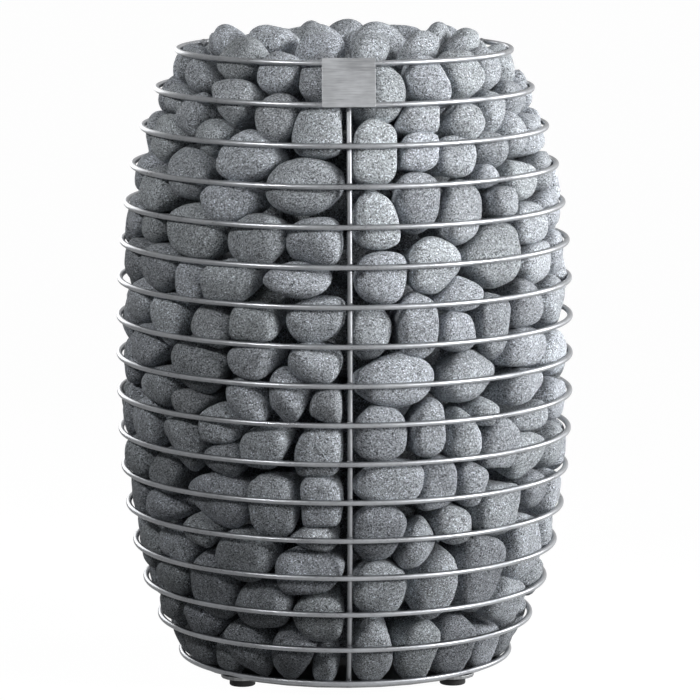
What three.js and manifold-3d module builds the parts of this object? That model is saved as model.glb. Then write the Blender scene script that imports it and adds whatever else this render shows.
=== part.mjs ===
// Free-standing electric sauna heater: a barrel-shaped cage of stainless rod filled with stones.
// Millimetres, +Z up, front towards -Y, origin on the floor under the middle of the heater.

import * as THREE from 'three';
import { ConvexHull } from 'three/addons/math/ConvexHull.js';
import { mergeVertices } from 'three/addons/utils/BufferGeometryUtils.js';
import Module from 'manifold-3d';

const wasm = await Module();
wasm.setup();

// Cage
const BELLY_DIAMETER = 410; // outside of the widest ring
const END_DIAMETER = 302; // outside of the top and bottom rings
const RING_COUNT = 17;
const RING_PITCH = 34; // height from one ring to the next
const BARREL_FULLNESS = 2.6; // exponent of the barrel curve, 2 is an ellipse
const RING_ROD = 5; // diameter of the ring rod
const RIB_ROD = 4.6; // diameter of the upright ribs
const RIB_OVERHANG = 2; // how far a rib runs past the end rings
const WELD_GAP = 0.3; // left between pieces that are welded or laid on each other

// Name plate, bare
const PLATE_SIDE = 46;
const PLATE_SHEET = 1.5;

// Base and feet
const RIM_GAP = 4; // from the base plate's edge out to the bottom ring
const BASE_SHEET = 3;
const LOBE_RADIUS = 19; // of the base plate's lobe over each foot, which carries the bottom ring
const STUD_RADIUS = 4;
const THREAD_CLEARANCE = 0.35;
const BOSS_WALL = 2.65; // of the threaded boss welded under the lobe
const BOSS_CLEARANCE = 0.7; // from the boss down to the floor of the foot's cup
const PAD_CLEARANCE = 2.1; // from the boss out to the wall of the foot's cup
const PAD_WALL = 2.4;
const PAD_FLOOR = 2.4;
const PAD_HEIGHT = 7;
const PAD_CHAMFER = 1;
const FOOT_TRAVEL = 5; // how far a foot screws out
const THREAD_LEFT = 2.2; // length of stud left in the boss when the foot is right out

// Electrics
const BOX_RADIUS = 68;
const BOX_HEIGHT = 48;
const BOX_WALL = 2;
const OPENING_LEDGE = 8; // base plate left inside the box wall, round the wiring opening
const COVER_LAP = 8; // cover past the edge of the wiring opening
const COVER_SHEET = 1.5;
const ELEMENT_TUBE = 8; // diameter of the heating element
const ELEMENT_CIRCLE = 48; // radius on which the element legs stand
const ELEMENT_COUNT = 3;
const ELEMENT_DEPTH = 65; // from the top ring down to the top of the bends
const ELEMENT_TAIL = 20; // how far a leg reaches into the box
const BUSHING_RADIUS = 8;
const BUSHING_HEIGHT = 6;
const HOLE_CLEARANCE = 0.6;
const GROMMET_BORE = 5.5; // radius
const GROMMET_WALL = 2.5;
const GROMMET_GRIP = 3; // how far the flanges stand out past the neck
const GROMMET_LIP = 1.6;
const GROMMET_INSET = 20; // from the edge of the wiring opening in to the middle of the grommet
const BLOCK_LENGTH = 46;
const BLOCK_DEPTH = 22;
const BLOCK_HEIGHT = 14;
const BLOCK_OFFSET = 12; // in front of the middle
const EARTH_OFFSET = 36; // right of the middle
const EARTH_RADIUS = 3;
const EARTH_NUT_RADIUS = 6;
const EARTH_HEIGHT = 16;
const EARTH_NUT_HEIGHT = 5;

// Stones
const STONE_SWELL = 1.45; // stones are drawn this much larger, and cut back where they meet
const STONE_OUTER = 24; // from a stone's middle to its outer face
const STONE_INNER = 52; // from a stone's middle to its inner end
const STONE_CLEARANCE = 0.6; // to the cage, base and elements
const STONE_GAP = 0.5; // between stones that only lie on each other
const STONE_SQUARENESS = 3; // 2 is an ellipsoid, more is boxier
const BESIDE_RIB = 12; // a stone with its middle farther than this from a rib reaches round the rib
const BOX_CLEARANCE = 10; // from the terminal box out to the stones round it
const HEAP_HEIGHT = 25; // top of the heap above the top ring
const CONTACT_RADIUS = 4; // of the patch where two stones of a layer are joined
const CONTACT_LEAST = 1.2; // smallest patch radius
const CONTACT_BACKOFF = 1.2; // other points of a joined stone stay this far behind the patch
const CONTACT_REACH = 30; // how far from the line between two stones a patch may lie
const CONTACT_STEP = 3; // of the search for the best patch
const NEIGHBOUR_REACH = 190; // stones with middles farther apart than this never meet
const CORNER_SPREAD = 0.12; // unevenness of the directions of a stone's corners
const LEAST_FILL = 0.94; // a corner lies at this share of the stone's full reach or more
const LAYER_COURSES = 2; // courses of stones in a layer, which is one body
const STONE_SEED = 20261;

// Facets
const RING_STEPS = 24; // straight runs in a ring, a multiple of the rib count
const ROD_SIDES = 5;
const ELEMENT_SIDES = 6;
const BEND_STEPS = 8;
const BASE_SIDES = 32;
const LOBE_SIDES = 16;
const BOSS_SIDES = 8;
const PAD_SIDES = 12;
const BOX_SIDES = 18;
const COVER_SIDES = 32;
const GROMMET_SIDES = 12;
const NUT_SIDES = 6;
const CUT_MARGIN = 1; // how far a cut runs past the face that it leaves by
const MERGE_DISTANCE = 1e-3; // corners closer than this are one corner

// Back half of the stone fill, out of sight: rows of even stones, each a little out of place
const BACK_START = 95; // azimuth in degrees from the front rib
const BACK_END = 265;
const BACK_STONES = 8;
const BACK_STONE_HEIGHT = 1.35;
const BACK_SHIFT = 0.3; // of every other row, in stone widths
const BACK_UNEVEN = { azimuth: 3, level: 0.14, width: 0.08, height: 0.1, tilt: 14 };

// Front half of the stone fill, read by eye. Azimuth in degrees from the front rib, positive to the
// right, then level in sixteenths of the cage, width in degrees of azimuth, height in levels, and tilt
// in degrees.
const PLAN_LEVELS = 16;
const COURSES = [
  { level: 0.95, front: [
    [-81, 1.1, 19, 1, 0], [-64, 0.9, 23, 0.95, -10], [-47, 0.8, 15.5, 1.1, 0],
    [-36, 1.0, 19.5, 1.4, -10], [-19, 1.0, 20, 1.3, 15], [-9, 0.7, 14, 0.95, 0],
    [8, 0.95, 18, 1.5, 0], [23, 1.0, 19.5, 1.3, 10], [38, 1.0, 20, 1.3, 10],
    [56, 0.9, 20.5, 0.8, 10], [76, 1.15, 20.5, 1, 20],
  ] },
  { level: 2.1, front: [
    [-81, 2.1, 18, 0.9, 0], [-66, 1.75, 19, 0.95, 0], [-52, 1.45, 18.5, 1, 10],
    [-44, 2.45, 18, 1.65, 0], [-27.5, 2.05, 20.5, 1.25, -20], [-9, 2.0, 19, 1.3, -10],
    [9, 2.75, 18, 1.35, 10], [25.5, 2.75, 17, 2.1, -5], [41, 2.75, 19.5, 2.05, -10],
    [57, 1.95, 21.5, 1.2, 15], [79, 2.2, 18, 0.9, 0],
  ] },
  { level: 3.25, front: [
    [-77, 3.1, 15.5, 1.05, 0], [-60, 2.6, 16, 0.8, 0], [-57, 3.55, 20.5, 1.05, 10],
    [-45, 3.95, 14, 0.75, 0], [-31, 3.45, 22, 1.25, 0], [-12, 3.15, 20.5, 1.3, 0],
    [-8.5, 4.05, 14.5, 0.7, 0], [7.5, 4.2, 16, 1.55, 15], [19, 3.75, 13, 1.4, 10],
    [29, 4.3, 14.5, 1.1, 0], [45, 4.6, 17.5, 1.65, 10], [62, 3.2, 18, 1.55, -20],
    [78, 3.2, 15, 1.05, 0],
  ] },
  { level: 4.4, front: [
    [-75, 4.4, 15.5, 1.05, 0], [-60, 4.4, 18, 0.95, 15], [-38, 4.85, 23.5, 1.45, 10],
    [-21, 4.85, 15.5, 1.45, 0], [-8, 5.0, 13.5, 1.55, -5], [11, 5.45, 22, 1.1, 0],
    [24, 5.35, 14, 1.55, 0], [34, 5.2, 10.5, 1.3, 0], [44, 6.15, 16, 1.45, 15],
    [56, 5.85, 18, 1.15, 10], [61, 4.8, 15, 0.8, 0], [76, 4.5, 15.5, 1, 0],
  ] },
  { level: 5.55, front: [
    [-72, 5.5, 15.5, 0.9, 0], [-58, 5.35, 17.5, 1.05, -25], [-49, 6.2, 18, 1.6, 0],
    [-35, 5.95, 14.5, 0.95, -20], [-24, 6.35, 17, 1.05, -15], [-8, 6.3, 13.5, 1.45, 0],
    [8, 6.75, 15, 1.45, 0], [21.5, 6.75, 12, 1.7, -5], [32, 6.55, 13.5, 1.35, -15],
    [37.5, 7.05, 10.5, 0.7, 15], [57, 6.75, 16, 0.8, 0], [75, 5.7, 16, 1.1, 0],
  ] },
  { level: 6.7, front: [
    [-82, 6.7, 14, 1.35, 0], [-66, 6.5, 16, 1.1, 0], [-58, 7.6, 18, 0.85, -10],
    [-46, 7.3, 10.5, 0.75, 0], [-36, 6.75, 15, 0.9, 0], [-27, 7.55, 13, 1.45, 0],
    [-17, 7.75, 14, 1.35, 0], [-5, 7.45, 11, 1.1, -20], [12.5, 8.05, 24.5, 1.4, 5],
    [34, 7.95, 22, 1.35, 5], [54, 7.55, 18, 1, 0], [74, 6.95, 16.5, 1.05, 0],
  ] },
  { level: 7.85, front: [
    [-80, 7.9, 15, 1.2, 0], [-64, 8.6, 16.5, 1.05, 0], [-44, 8.25, 20, 1.55, -15],
    [-26, 8.5, 16, 1.05, 0], [-10, 8.45, 16.5, 1.2, -10], [6, 9.25, 15, 1.35, 15],
    [18, 9.4, 15, 1.55, -5], [29.5, 9.25, 14, 1.1, 0], [53, 8.6, 18.5, 1, 0],
    [76, 8.2, 16, 1.25, 0],
  ] },
  { level: 9.0, front: [
    [-83, 9.2, 14.5, 1, 0], [-70, 9.6, 16, 1.1, 0], [-55, 9.35, 16.5, 1.1, 0],
    [-38.5, 9.3, 18, 1.1, 15], [-25.5, 9.45, 16, 1.05, 0], [-9, 9.6, 18.5, 1.25, -10],
    [31, 10.05, 14.5, 0.85, 0], [41, 9.3, 13.5, 1.7, 0], [55, 9.65, 15.5, 1.25, 0],
    [73, 9.5, 18, 1.35, 15],
  ] },
  { level: 10.2, front: [
    [-79, 10.6, 16, 1.1, 0], [-60, 10.65, 19, 1.1, 0], [-45, 10.35, 12, 1.1, 0],
    [-33, 10.5, 18.5, 1.05, -5], [-12.5, 10.6, 22.5, 0.85, -5], [8, 10.75, 17, 1.45, 0],
    [23, 10.95, 18, 1.45, 0], [43, 11.1, 19.5, 1.75, 5], [61, 10.7, 17, 0.95, 0],
    [78, 10.8, 16, 1.05, 0],
  ] },
  { level: 11.4, front: [
    [-80, 11.7, 15, 1.05, 0], [-64, 11.6, 13.5, 0.8, 0], [-46, 11.55, 22.5, 1.25, 0],
    [-27, 11.55, 18.5, 1.35, 0], [-8.5, 11.45, 17, 1.45, -5], [7.5, 12.0, 16, 1.55, -10],
    [19.5, 12.45, 16.5, 1.6, 0], [33.5, 12.1, 16, 1.8, 0], [46, 12.4, 10, 0.8, 0],
    [60, 11.7, 16.5, 1.15, 0], [78, 11.9, 16.5, 1.1, 0],
  ] },
  { level: 12.6, front: [
    [-82, 12.8, 15.5, 1.1, 0], [-66, 12.45, 17.5, 1.1, 0], [-52, 13.15, 20.5, 1.4, -25],
    [-35, 12.45, 19.5, 0.9, 0], [-13, 12.9, 23, 1.4, 0], [8, 13.75, 16, 1.55, 0],
    [21, 13.7, 15, 1.15, 0], [33, 13.55, 17.5, 1.1, 10], [43.5, 13.0, 11.5, 0.7, 0],
    [58, 12.7, 18.5, 1, 0], [76, 12.85, 18, 1.05, 0],
  ] },
  { level: 13.75, front: [
    [-85, 13.8, 15, 0.9, 0], [-68, 13.85, 19.5, 1.2, 0], [-46, 14.05, 18.5, 0.95, -10],
    [-31, 13.55, 23, 1.1, 0], [-9, 14.2, 19.5, 1.4, 0], [47, 13.7, 16.5, 1, -15],
    [60, 14.05, 16, 1.2, 0], [75, 13.75, 18, 1.1, -10],
  ] },
  { level: 14.7, front: [
    [-83, 14.7, 17, 0.95, 0], [-68, 14.7, 18, 0.8, 0], [-54.5, 14.5, 15, 1.05, 0],
    [-41, 14.75, 20.5, 1.2, -10], [-23, 14.5, 15.5, 1.2, 0], [22.5, 14.4, 14, 0.85, 0],
    [37.5, 14.3, 16, 0.9, 0], [53, 14.45, 15.5, 1.05, 5], [69, 14.75, 20, 0.85, 0],
    [86, 14.7, 17, 0.8, 0],
  ] },
  { level: 15.3, front: [
    [-80, 15.5, 22, 0.95, 0], [-64, 15.25, 21, 0.85, 0], [-44, 15.75, 21, 1, 15],
    [-25, 15.5, 20, 0.9, 0], [-9.5, 15.4, 20, 1.2, 0], [10, 15.15, 19, 1.45, -15],
    [29, 15.35, 16, 1.25, -20], [45, 15.45, 19, 1.05, -15], [61, 15.5, 20, 1.05, 0],
    [79, 15.45, 22, 0.95, -25],
  ] },
];

// Stones heaped above the top ring, as above, with the distance back from the cage at the end, as a
// share of the top ring's radius.
const CROWN_RIM = [
  [-78, 16.03, 25, 0.88, 0, 0.09], [-48, 16.24, 30, 1, -10, 0.19], [-14, 15.94, 33, 0.94, 0, 0.25],
  [13, 15.96, 25, 0.88, 0, 0.19], [39, 16.03, 29, 0.82, -8, 0.12], [55, 15.94, 12, 0.59, 0, 0.05],
  [76, 16, 24, 0.79, 0, 0.09],
];
const CROWN_TOP = [
  [-90, 16.09, 101, 0.91, 0, 0.6], [37, 16.18, 66, 1, 0, 0.49], [81, 16.12, 29, 0.88, 0, 0.24],
  [150, 15.65, 110, 1, 0, 0.6],
];
const CROWN_RIM_BACK = { count: 7, level: 15.75, height: 0.7, recess: 0.09 };
const CROWN_TOP_BACK = { count: 4, level: 15.7, height: 0.95, recess: 0.39 };
const CROWN_INNER = 26; // from a stone's middle to its inner end

// Stones between the elements' bends and the crown
const CORE_STONES = { count: 5, level: 14.95, width: 72, height: 1.55, recess: 0.59 };
const CORE_INNER = 36; // from a stone's middle to its inner end

const STEEL = { color: 0xb9bcbf, roughness: 0.32, metalness: 1 };
const DARK_STEEL = { color: 0x8f9296, roughness: 0.45, metalness: 1 };
const ELEMENT_STEEL = { color: 0x6a6764, roughness: 0.5, metalness: 0.9 };
const STONE_GREY = { color: 0x83868a, roughness: 0.92, metalness: 0 };
const BLACK_RUBBER = { color: 0x141415, roughness: 0.7, metalness: 0 };
const WHITE_CERAMIC = { color: 0xe8e4da, roughness: 0.4, metalness: 0 };

const group = new THREE.Group();

function addPart(name, geometry, finish) {
  const mesh = new THREE.Mesh(geometry, new THREE.MeshStandardMaterial(finish));
  mesh.name = name;
  group.add(mesh);
  return mesh;
}

// Closed mesh from corner points and triangles
function meshGeometry(points, triangles) {
  const geometry = new THREE.BufferGeometry();
  const positions = points.flatMap((point) => [point.x, point.y, point.z]);
  geometry.setAttribute('position', new THREE.Float32BufferAttribute(positions, 3));
  geometry.setIndex(triangles.flat());
  return geometry;
}

// Shared corners merged, and triangles that this leaves without area dropped
function closed(geometry) {
  const bare = geometry.clone();
  bare.deleteAttribute('normal');
  bare.deleteAttribute('uv');
  const merged = mergeVertices(bare, MERGE_DISTANCE);
  const kept = [];
  for (let index = 0; index < merged.index.count; index += 3) {
    const corners = [0, 1, 2].map((k) => merged.index.getX(index + k));
    if (new Set(corners).size === corners.length) kept.push(...corners);
  }
  merged.setIndex(kept);
  return merged;
}

// Solids for joining and cutting
function toSolid(geometry) {
  const merged = closed(geometry);
  return new wasm.Manifold(new wasm.Mesh({
    numProp: 3,
    vertProperties: new Float32Array(merged.attributes.position.array),
    triVerts: new Uint32Array(merged.index.array),
  }));
}

function fromSolid(solid) {
  const mesh = solid.getMesh();
  const geometry = new THREE.BufferGeometry();
  geometry.setAttribute('position', new THREE.BufferAttribute(new Float32Array(mesh.vertProperties), 3));
  geometry.setIndex(new THREE.BufferAttribute(new Uint32Array(mesh.triVerts), 1));
  return geometry;
}

// Upright cylinder between two heights
function upright(radius, bottom, top, sides, x = 0, y = 0) {
  const geometry = new THREE.CylinderGeometry(radius, radius, top - bottom, sides);
  geometry.rotateX(Math.PI / 2);
  geometry.translate(x, y, (top + bottom) / 2);
  return geometry;
}

// Body of revolution about the Z axis from [radius, height] corners
function revolved(corners, sides) {
  const profile = corners.map(([radius, height]) => new THREE.Vector2(radius, height));
  const geometry = new THREE.LatheGeometry(profile, sides);
  geometry.rotateX(Math.PI / 2);
  return closed(geometry);
}

// Round rod along points that lie in one plane with the given normal, mitred at its corners
function rodAlong(path, planeNormal, radius, sides) {
  const points = [];
  const triangles = [];
  const last = path.length - 1;
  path.forEach((point, index) => {
    const before = path[Math.max(index - 1, 0)];
    const after = path[Math.min(index + 1, last)];
    const into = point.clone().sub(before).normalize();
    const out = after.clone().sub(point).normalize();
    const tangent = into.clone().add(out).normalize();
    const inPlane = new THREE.Vector3().crossVectors(planeNormal, tangent).normalize();
    const turn = index === 0 || index === last ? 1 : tangent.dot(into);
    for (let side = 0; side < sides; side += 1) {
      const angle = (2 * Math.PI * side) / sides;
      points.push(point.clone()
        .addScaledVector(inPlane, (radius * Math.cos(angle)) / turn)
        .addScaledVector(planeNormal, radius * Math.sin(angle)));
    }
  });
  for (let index = 0; index < last; index += 1) {
    for (let side = 0; side < sides; side += 1) {
      const next = (side + 1) % sides;
      const a = index * sides + side;
      const b = index * sides + next;
      triangles.push([a, a + sides, b], [b, a + sides, b + sides]);
    }
  }
  for (let side = 1; side < sides - 1; side += 1) {
    triangles.push([0, side, side + 1]);
    triangles.push([last * sides, last * sides + side + 1, last * sides + side]);
  }
  return outwards(meshGeometry(points, triangles));
}

// Turns a mesh's faces outwards if they point in
function outwards(geometry) {
  const position = geometry.attributes.position;
  const corners = [new THREE.Vector3(), new THREE.Vector3(), new THREE.Vector3()];
  let volume = 0;
  for (let index = 0; index < geometry.index.count; index += 3) {
    corners.forEach((corner, k) => corner.fromBufferAttribute(position, geometry.index.getX(index + k)));
    volume += corners[0].dot(corners[1].clone().cross(corners[2]));
  }
  if (volume < 0) {
    const flipped = Array.from(geometry.index.array);
    for (let index = 0; index < flipped.length; index += 3) {
      [flipped[index + 1], flipped[index + 2]] = [flipped[index + 2], flipped[index + 1]];
    }
    geometry.setIndex(flipped);
  }
  return geometry;
}

// Heights
const BASE_UNDERSIDE = PAD_HEIGHT + WELD_GAP;
const BASE_TOP = BASE_UNDERSIDE + BASE_SHEET;
const BOSS_BOTTOM = PAD_FLOOR + BOSS_CLEARANCE;
const STUD_TOP = BOSS_BOTTOM + FOOT_TRAVEL + THREAD_LEFT;
const BOTTOM_RING = BASE_TOP + WELD_GAP + RING_ROD / 2;
const TOP_LEVEL = RING_COUNT - 1;
const TOP_RING = BOTTOM_RING + TOP_LEVEL * RING_PITCH;
const BOX_BOTTOM = BASE_TOP + WELD_GAP;
const BOX_TOP = BOX_BOTTOM + BOX_HEIGHT;
const ELEMENT_TOP = TOP_RING - ELEMENT_DEPTH;
const STONE_FLOOR = Math.max(BASE_TOP, STUD_TOP) + STONE_CLEARANCE;

function levelHeight(level) {
  return BOTTOM_RING + level * RING_PITCH;
}
const PLAN_STEP = (TOP_RING - BOTTOM_RING) / PLAN_LEVELS;
function planHeight(level) {
  return BOTTOM_RING + level * PLAN_STEP;
}

// Radius of a ring's rod at a whole level: a superellipse between the belly and the ends
const BELLY_RADIUS = (BELLY_DIAMETER - RING_ROD) / 2;
const END_RADIUS = (END_DIAMETER - RING_ROD) / 2;
function ringRadius(level) {
  const reach = (1 - (END_RADIUS / BELLY_RADIUS) ** BARREL_FULLNESS) ** (1 / BARREL_FULLNESS);
  const middle = TOP_LEVEL / 2;
  const along = (reach * Math.abs(level - middle)) / middle;
  return BELLY_RADIUS * (1 - along ** BARREL_FULLNESS) ** (1 / BARREL_FULLNESS);
}

// Straight between rings, and straight on past the end rings
function cageRadius(height) {
  const level = (height - BOTTOM_RING) / RING_PITCH;
  const lower = Math.min(Math.max(Math.floor(level), 0), TOP_LEVEL - 1);
  const share = level - lower;
  return ringRadius(lower) * (1 - share) + ringRadius(lower + 1) * share;
}

function cageSlope(height) {
  return (cageRadius(height + 1) - cageRadius(height - 1)) / 2;
}

// Rings
const ringAngle = (2 * Math.PI) / RING_STEPS;
for (let level = TOP_LEVEL; level >= 0; level -= 1) {
  const geometry = new THREE.TorusGeometry(ringRadius(level), RING_ROD / 2, ROD_SIDES, RING_STEPS);
  geometry.translate(0, 0, levelHeight(level));
  const number = String(RING_COUNT - level).padStart(2, '0');
  addPart(`ring_${number}`, geometry, STEEL);
}

// Ribs stand inside the rings, against them
const RIB_INSET = RING_ROD / 2 + RIB_ROD / 2 + WELD_GAP + (RIB_ROD / 2) * Math.tan(ringAngle / 2);
const ribs = ['front', 'back_right', 'back_left'].map((name, index, names) => {
  const azimuth = (2 * Math.PI * index) / names.length;
  return {
    name,
    outward: new THREE.Vector3(Math.sin(azimuth), -Math.cos(azimuth), 0),
    sideways: new THREE.Vector3(Math.cos(azimuth), Math.sin(azimuth), 0),
  };
});
ribs.forEach(({ name, outward, sideways }) => {
  const path = [];
  for (let level = 0; level <= TOP_LEVEL; level += 1) {
    let height = levelHeight(level);
    if (level === 0) height -= RIB_OVERHANG;
    if (level === TOP_LEVEL) height += RIB_OVERHANG;
    const point = outward.clone().multiplyScalar(cageRadius(height) - RIB_INSET);
    path.push(point.setZ(height));
  }
  addPart(`rib_${name}`, rodAlong(path, sideways, RIB_ROD / 2, ROD_SIDES), STEEL);
});

// Name plate on the outside of the top two rings, at the front
{
  const upper = new THREE.Vector2(ringRadius(TOP_LEVEL), levelHeight(TOP_LEVEL));
  const lower = new THREE.Vector2(ringRadius(TOP_LEVEL - 1), levelHeight(TOP_LEVEL - 1));
  const lean = Math.atan2(lower.x - upper.x, upper.y - lower.y);
  const middle = upper.clone().add(lower).multiplyScalar(0.5);
  const standOff = RING_ROD / 2 + WELD_GAP + PLATE_SHEET / 2;
  const geometry = new THREE.BoxGeometry(PLATE_SIDE, PLATE_SHEET, PLATE_SIDE);
  const plate = addPart('name_plate', geometry, STEEL);
  plate.rotation.x = -lean;
  plate.position.set(0, -middle.x - standOff * Math.cos(lean), middle.y + standOff * Math.sin(lean));
}

// Base plate: a disc with a wiring opening, and a lobe over each foot that reaches under the bottom ring
const BASE_RADIUS = END_RADIUS - RING_ROD / 2 - RIM_GAP;
const BASE_OPENING = BOX_RADIUS - BOX_WALL - OPENING_LEDGE;
const BOSS_RADIUS = STUD_RADIUS + THREAD_CLEARANCE + BOSS_WALL;
const FOOT_CIRCLE = END_RADIUS + RING_ROD / 2 - LOBE_RADIUS;
const feet = ['front_right', 'back_right', 'back_left', 'front_left'].map((name, index, names) => {
  const azimuth = (2 * Math.PI * (index + 0.5)) / names.length;
  return { name, x: FOOT_CIRCLE * Math.sin(azimuth), y: -FOOT_CIRCLE * Math.cos(azimuth) };
});
{
  const low = BASE_UNDERSIDE - CUT_MARGIN;
  const high = BASE_TOP + CUT_MARGIN;
  let solid = toSolid(upright(BASE_RADIUS, BASE_UNDERSIDE, BASE_TOP, BASE_SIDES));
  solid = solid.subtract(toSolid(upright(BASE_OPENING, low, high, BASE_SIDES)));
  feet.forEach(({ x, y }) => {
    const weld = BASE_UNDERSIDE + BASE_SHEET / 2;
    const lobe = upright(LOBE_RADIUS, BASE_UNDERSIDE, BASE_TOP, LOBE_SIDES, x, y);
    const boss = upright(BOSS_RADIUS, BOSS_BOTTOM, weld, BOSS_SIDES, x, y);
    const bore = upright(STUD_RADIUS + THREAD_CLEARANCE, BOSS_BOTTOM - CUT_MARGIN, high, BOSS_SIDES, x, y);
    solid = solid.add(toSolid(lobe)).add(toSolid(boss)).subtract(toSolid(bore));
  });
  addPart('base_plate', fromSolid(solid), DARK_STEEL);
}

// Feet: a moulded cup that stays still on the floor, and the stud that screws it in and out
feet.forEach(({ name, x, y }) => {
  const inner = BOSS_RADIUS + PAD_CLEARANCE;
  const outer = inner + PAD_WALL;
  const pad = revolved([
    [0, 0], [outer - PAD_CHAMFER, 0], [outer, PAD_CHAMFER], [outer, PAD_HEIGHT],
    [inner, PAD_HEIGHT], [inner, PAD_FLOOR], [0, PAD_FLOOR],
  ], PAD_SIDES);
  addPart(`foot_pad_${name}`, pad, BLACK_RUBBER).position.set(x, y, 0);
  const stud = upright(STUD_RADIUS, PAD_FLOOR + WELD_GAP, STUD_TOP, BOSS_SIDES, x, y);
  addPart(`foot_stud_${name}`, stud, DARK_STEEL);
});

// Element legs stand in pairs, one pair for each element
function legPlaces(index) {
  const spread = Math.PI / (2 * ELEMENT_COUNT);
  const middle = (2 * Math.PI * index) / ELEMENT_COUNT;
  return [middle - spread, middle + spread].map((angle) => new THREE.Vector2(
    ELEMENT_CIRCLE * Math.sin(angle),
    -ELEMENT_CIRCLE * Math.cos(angle),
  ));
}

// Terminal box: a pot turned over on the base plate, with holes for the element legs
{
  const inner = BOX_RADIUS - BOX_WALL;
  const pot = revolved([
    [0, BOX_TOP - BOX_WALL], [inner, BOX_TOP - BOX_WALL], [inner, BOX_BOTTOM],
    [BOX_RADIUS, BOX_BOTTOM], [BOX_RADIUS, BOX_TOP], [0, BOX_TOP],
  ], BOX_SIDES);
  let solid = toSolid(pot);
  for (let index = 0; index < ELEMENT_COUNT; index += 1) {
    legPlaces(index).forEach(({ x, y }) => {
      const radius = ELEMENT_TUBE / 2 + HOLE_CLEARANCE;
      const low = BOX_TOP - BOX_WALL - CUT_MARGIN;
      solid = solid.subtract(toSolid(upright(radius, low, BOX_TOP + CUT_MARGIN, BOSS_SIDES, x, y)));
    });
  }
  addPart('terminal_box', fromSolid(solid), DARK_STEEL);
}

// Cover under the wiring opening, with the grommet that takes the supply cable
const COVER_TOP = BASE_UNDERSIDE - WELD_GAP;
const COVER_BOTTOM = COVER_TOP - COVER_SHEET;
const GROMMET_NECK = GROMMET_BORE + GROMMET_WALL;
const GROMMET_OFFSET = BASE_OPENING - GROMMET_INSET; // behind the middle
{
  const disc = upright(BASE_OPENING + COVER_LAP, COVER_BOTTOM, COVER_TOP, COVER_SIDES);
  const bore = GROMMET_NECK + WELD_GAP;
  const low = COVER_BOTTOM - CUT_MARGIN;
  const hole = upright(bore, low, COVER_TOP + CUT_MARGIN, GROMMET_SIDES, 0, GROMMET_OFFSET);
  addPart('box_cover', fromSolid(toSolid(disc).subtract(toSolid(hole))), DARK_STEEL);
}
{
  const flange = GROMMET_NECK + GROMMET_GRIP;
  const low = COVER_BOTTOM - WELD_GAP;
  const high = COVER_TOP + WELD_GAP;
  const grommet = revolved([
    [GROMMET_BORE, low - GROMMET_LIP], [flange, low - GROMMET_LIP], [flange, low],
    [GROMMET_NECK, low], [GROMMET_NECK, high], [flange, high],
    [flange, high + GROMMET_LIP], [GROMMET_BORE, high + GROMMET_LIP], [GROMMET_BORE, low - GROMMET_LIP],
  ], GROMMET_SIDES);
  addPart('cable_grommet', grommet, BLACK_RUBBER).position.set(0, GROMMET_OFFSET, 0);
}

// Terminal block and earth stud on the cover
{
  const seat = COVER_TOP + WELD_GAP;
  const block = new THREE.BoxGeometry(BLOCK_LENGTH, BLOCK_DEPTH, BLOCK_HEIGHT);
  addPart('terminal_block', block, WHITE_CERAMIC).position.set(0, -BLOCK_OFFSET, seat + BLOCK_HEIGHT / 2);

  const earth = revolved([
    [0, 0], [EARTH_NUT_RADIUS, 0], [EARTH_NUT_RADIUS, EARTH_NUT_HEIGHT],
    [EARTH_RADIUS, EARTH_NUT_HEIGHT], [EARTH_RADIUS, EARTH_HEIGHT], [0, EARTH_HEIGHT],
  ], NUT_SIDES);
  addPart('earth_stud', earth, DARK_STEEL).position.set(EARTH_OFFSET, 0, seat);
}

// Heating elements: hairpins with a bushing on each leg, seated on top of the box
for (let index = 0; index < ELEMENT_COUNT; index += 1) {
  const [start, end] = legPlaces(index);
  const across = end.clone().sub(start);
  const bend = across.length() / 2;
  const middle = start.clone().add(end).multiplyScalar(0.5);
  const side = across.clone().normalize();
  const springing = ELEMENT_TOP - ELEMENT_TUBE / 2 - bend;
  const tail = BOX_TOP - ELEMENT_TAIL;
  const path = [new THREE.Vector3(start.x, start.y, tail)];
  for (let step = 0; step <= BEND_STEPS; step += 1) {
    const angle = Math.PI - (Math.PI * step) / BEND_STEPS;
    const place = middle.clone().addScaledVector(side, bend * Math.cos(angle));
    path.push(new THREE.Vector3(place.x, place.y, springing + bend * Math.sin(angle)));
  }
  path.push(new THREE.Vector3(end.x, end.y, tail));
  const normal = new THREE.Vector3(-side.y, side.x, 0);
  let solid = toSolid(rodAlong(path, normal, ELEMENT_TUBE / 2, ELEMENT_SIDES));
  [start, end].forEach(({ x, y }) => {
    const seat = BOX_TOP + WELD_GAP;
    const bushing = upright(BUSHING_RADIUS, seat, seat + BUSHING_HEIGHT, ELEMENT_SIDES, x, y);
    solid = solid.add(toSolid(bushing));
  });
  addPart(`heating_element_${index + 1}`, fromSolid(solid), ELEMENT_STEEL);
}

// Repeatable random numbers
let randomState = STONE_SEED;
function random() {
  randomState = (randomState + 0x6d2b79f5) | 0;
  let value = Math.imul(randomState ^ (randomState >>> 15), 1 | randomState);
  value = (value + Math.imul(value ^ (value >>> 7), 61 | value)) ^ value;
  return ((value ^ (value >>> 14)) >>> 0) / 4294967296;
}
function spread(amount) {
  return amount * (2 * random() - 1);
}

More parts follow.
